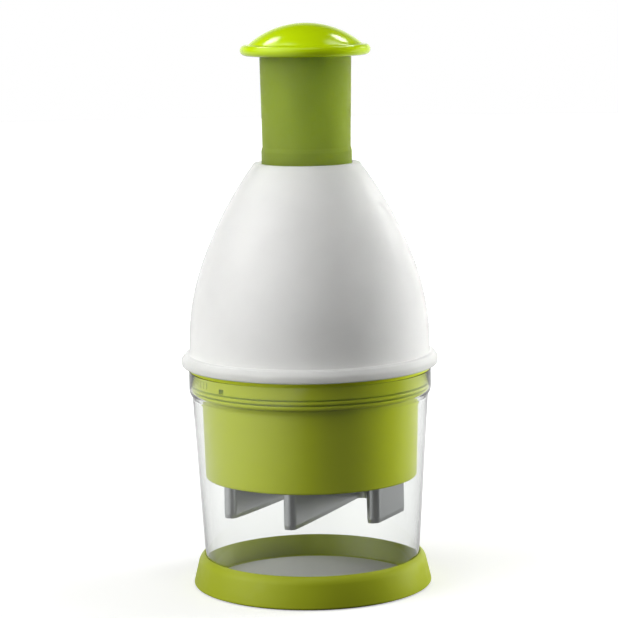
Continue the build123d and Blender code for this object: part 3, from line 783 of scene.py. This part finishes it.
# Turns that stay closed at each end, and turns over which the winding then opens
CLOSED_TURNS = 0.75
OPENING_TURNS = 0.5

# The room above the spring at rest
REST_GAP = 0.02


def main_spring():
    count = STEPS_PER_TURN * SPRING_TURNS
    # How far the winding is open at each step: 0 in the end turns and 1 between them
    opened = []
    for i in range(count):
        turn = (i + 0.5) / STEPS_PER_TURN
        from_end = min(turn, SPRING_TURNS - turn)
        rise = min(1, max(0, (from_end - CLOSED_TURNS) / OPENING_TURNS))
        opened.append(rise * rise * (3 - 2 * rise))
    room = WEB_Z - SPRING_LOW_Z
    length = room - 2 * SPRING_WIRE_R - REST_GAP
    extra = (length - CLOSED_PITCH * SPRING_TURNS) / sum(opened)
    bm = bmesh.new()
    rings = []
    height = SPRING_LOW_Z + SPRING_WIRE_R
    for i in range(count + 1):
        angle = 2 * pi * i / STEPS_PER_TURN
        climb = CLOSED_PITCH / STEPS_PER_TURN + extra * opened[min(i, count - 1)]
        slope = climb * STEPS_PER_TURN / (2 * pi * SPRING_R)
        outwards = Vector((cos(angle), sin(angle), 0))
        along = Vector((-sin(angle), cos(angle), slope)).normalized()
        across = along.cross(outwards)
        middle = outwards * SPRING_R + Vector((0, 0, height))
        ring = []
        for k in range(WIRE_SIDES):
            turn = 2 * pi * k / WIRE_SIDES
            edge = outwards * cos(turn) + across * sin(turn)
            ring.append(bm.verts.new((middle + edge * SPRING_WIRE_R) * MM))
        rings.append(ring)
        height += climb
    skin(bm, rings)
    piece = dress(new_object("main_spring_coil", bm), "head", SPRING, ["main_spring"])
    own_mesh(piece)


main_spring()

# Floor, lamps, world and camera, in metres

FLOOR_R = 3.0
GLASS_LEVEL = 0.1

# A ray that has met fewer surfaces than this comes straight from the camera or through the cup.
# The world's count begins at one.
SEEN_ON_FLOOR = 0.5
SEEN_IN_WORLD = 1.5


def surfaces_met(tree, path):
    """How many surfaces a ray has met, apart from those that it passed through."""
    return join(tree, "SUBTRACT", path.outputs["Ray Depth"], path.outputs["Transmission Depth"])


def glass_level(tree, path):
    """A faint level for rays that have passed through the cup."""
    passed = join(tree, "GREATER_THAN", path.outputs["Transmission Depth"], 0.5)
    return join(tree, "MULTIPLY", GLASS_LEVEL, passed)


def floor():
    """A white floor that melts into the background, and is dim in front where gloss mirrors it."""
    bm = bmesh.new()
    bmesh.ops.create_circle(bm, cap_ends=True, segments=SIDES // 2, radius=FLOOR_R)
    plane = new_object("floor", bm)
    material, tree, shader = node_material("floor_white")
    shader.inputs["Base Color"].default_value = (0.8, 0.8, 0.8, 1)
    shader.inputs["Roughness"].default_value = 0.8
    shader.inputs["Specular IOR Level"].default_value = 0.1
    path = tree.nodes.new("ShaderNodeLightPath")
    where = tree.nodes.new("ShaderNodeTexCoord")
    length = tree.nodes.new("ShaderNodeVectorMath")
    length.operation = "LENGTH"
    tree.links.new(where.outputs["Object"], length.inputs[0])
    axes = tree.nodes.new("ShaderNodeSeparateXYZ")
    tree.links.new(where.outputs["Object"], axes.inputs[0])
    # Seen straight or through the cup: lit by the lamps, with light of its own that grows outwards
    glow = light(tree, spread(tree, length.outputs["Value"], 0.45, 1.0, 0.10, 0.5))
    plain = added(tree, shader.outputs[0], glow)
    # Mirrored: bright behind the chopper and to its left
    dull = tree.nodes.new("ShaderNodeBsdfDiffuse")
    dull.inputs["Color"].default_value = (0.04, 0.04, 0.04, 1)
    behind = spread(tree, axes.outputs["Y"], 0.04, 0.8, -0.05, 0.25)
    left = spread(tree, axes.outputs["X"], 0.02, 0.75, 0.0, -0.2)
    level = join(tree, "MAXIMUM", glass_level(tree, path), join(tree, "MAXIMUM", behind, left))
    glossy = join(tree, "SUBTRACT", 1.0, path.outputs["Is Diffuse Ray"])
    mirrored = added(tree, dull.outputs[0], light(tree, join(tree, "MULTIPLY", glossy, level)))
    seen = join(tree, "LESS_THAN", surfaces_met(tree, path), SEEN_ON_FLOOR)
    surface = mixed(tree, seen, mirrored, plain)
    tree.links.new(surface, tree.nodes["Material Output"].inputs["Surface"])
    plane.data.materials.append(material)


floor()


def lamp(name, azimuth, height, distance, size, power, aim_z=0.1):
    """A soft box that faces the chopper's axis; azimuth counts to the right of the camera."""
    lit = bpy.data.lights.new(name, "AREA")
    lit.shape = "RECTANGLE"
    lit.size, lit.size_y = size
    lit.energy = power
    obj = bpy.data.objects.new(name, lit)
    bpy.context.scene.collection.objects.link(obj)
    angle = radians(azimuth)
    obj.location = (distance * sin(angle), -distance * cos(angle), height)
    obj.rotation_euler = (Vector((0, 0, aim_z)) - obj.location).to_track_quat("-Z", "Y").to_euler()
    obj.visible_camera = obj.visible_glossy = obj.visible_transmission = False


lamp("key_left", -67, 0.32, 1.0, (0.9, 1.2), 12.7)
lamp("rim_right", 105, 0.06, 0.6, (0.3, 0.4), 5.8, 0.075)
lamp("fill_right", 92, 0.42, 0.45, (0.4, 0.4), 0.25)
lamp("top", 0, 0.85, 0.2, (0.25, 0.25), 0.85, 0.2)

# What gloss shows of the lamps, with soft edges: azimuth, height, strength, and the angles from
# the middle at which each fades out and is full
SOFT_BOXES = (
    (-64, 30, 1.6, 48, 18),
    (118, 8, 0.6, 22, 8),
    (-146, 47, 10, 7, 3),
    (152, 42, 10, 6, 3),
    (-126, 50, 2.5, 12, 5),
    (-106, 68, 2.5, 14, 5),
    (132, 20, 2.5, 10, 4),
    (128, 56, 3.0, 12, 5),
    (0, 70, 1.0, 25, 10),
)


def studio():
    """Plain white where it is seen, soft boxes in a dim room for gloss, a low light for matt."""
    world = bpy.data.worlds.new("studio")
    bpy.context.scene.world = world
    world.use_nodes = True
    tree = world.node_tree
    tree.nodes.clear()
    path = tree.nodes.new("ShaderNodeLightPath")
    way = tree.nodes.new("ShaderNodeTexCoord")
    axes = tree.nodes.new("ShaderNodeSeparateXYZ")
    tree.links.new(way.outputs["Generated"], axes.inputs[0])
    # Gloss: white behind the chopper and low down, with the soft boxes over it
    behind = spread(tree, axes.outputs["Y"], 0.08, 1.0, 0.5, 0.95)
    gloss = join(tree, "MULTIPLY", behind, spread(tree, axes.outputs["Z"], 1.0, 0.0, 0.15, 0.5))
    for azimuth, height, strength, wide, narrow in SOFT_BOXES:
        level = cos(radians(height))
        across = tree.nodes.new("ShaderNodeVectorMath")
        across.operation = "DOT_PRODUCT"
        across.inputs[1].default_value = (
            level * sin(radians(azimuth)),
            -level * cos(radians(azimuth)),
            sin(radians(height)),
        )
        tree.links.new(way.outputs["Generated"], across.inputs[0])
        edges = (cos(radians(wide)), cos(radians(narrow)))
        glow = spread(tree, across.outputs["Value"], 0.0, strength, *edges)
        gloss = join(tree, "MAXIMUM", gloss, glow)
    gloss = join(tree, "MAXIMUM", gloss, glass_level(tree, path))
    # Matt surfaces: a low light from above
    matt = path.outputs["Is Diffuse Ray"]
    low = join(tree, "MULTIPLY", matt, spread(tree, axes.outputs["Z"], 0.0, 0.2, 0.1, 0.9))
    kept = join(tree, "MULTIPLY", gloss, join(tree, "SUBTRACT", 1.0, matt))
    seen = join(tree, "LESS_THAN", surfaces_met(tree, path), SEEN_IN_WORLD)
    sky = tree.nodes.new("ShaderNodeBackground")
    sky.inputs["Color"].default_value = (1, 1, 1, 1)
    brightness = join(tree, "MAXIMUM", seen, join(tree, "ADD", kept, low))
    tree.links.new(brightness, sky.inputs["Strength"])
    out = tree.nodes.new("ShaderNodeOutputWorld")
    tree.links.new(sky.outputs[0], out.inputs["Surface"])


studio()

# The camera stands a metre off, a little above, looks down by its pitch and leans by its roll

CAMERA_AT = (0, -0.9864, 0.2516)
CAMERA_PITCH = 8.04
CAMERA_ROLL = -0.856
CAMERA_LENS = 144.03
CAMERA_SENSOR = 36


def place_camera():
    pitch = radians(CAMERA_PITCH)
    roll = radians(CAMERA_ROLL)
    ahead = Vector((0, cos(pitch), -sin(pitch)))
    side = Vector((1, 0, 0))
    above = side.cross(ahead)
    leaning_side = cos(roll) * side + sin(roll) * above
    leaning_up = -sin(roll) * side + cos(roll) * above
    data = bpy.data.cameras.new("camera")
    data.sensor_width = CAMERA_SENSOR
    data.lens = CAMERA_LENS
    camera = bpy.data.objects.new("camera", data)
    bpy.context.scene.collection.objects.link(camera)
    columns = (leaning_side, leaning_up, -ahead, Vector(CAMERA_AT))
    camera.matrix_world = Matrix([[*(c[i] for c in columns)] for i in range(3)] + [[0, 0, 0, 1]])
    bpy.context.scene.camera = camera


place_camera()
bpy.context.scene.view_settings.view_transform = "Standard"
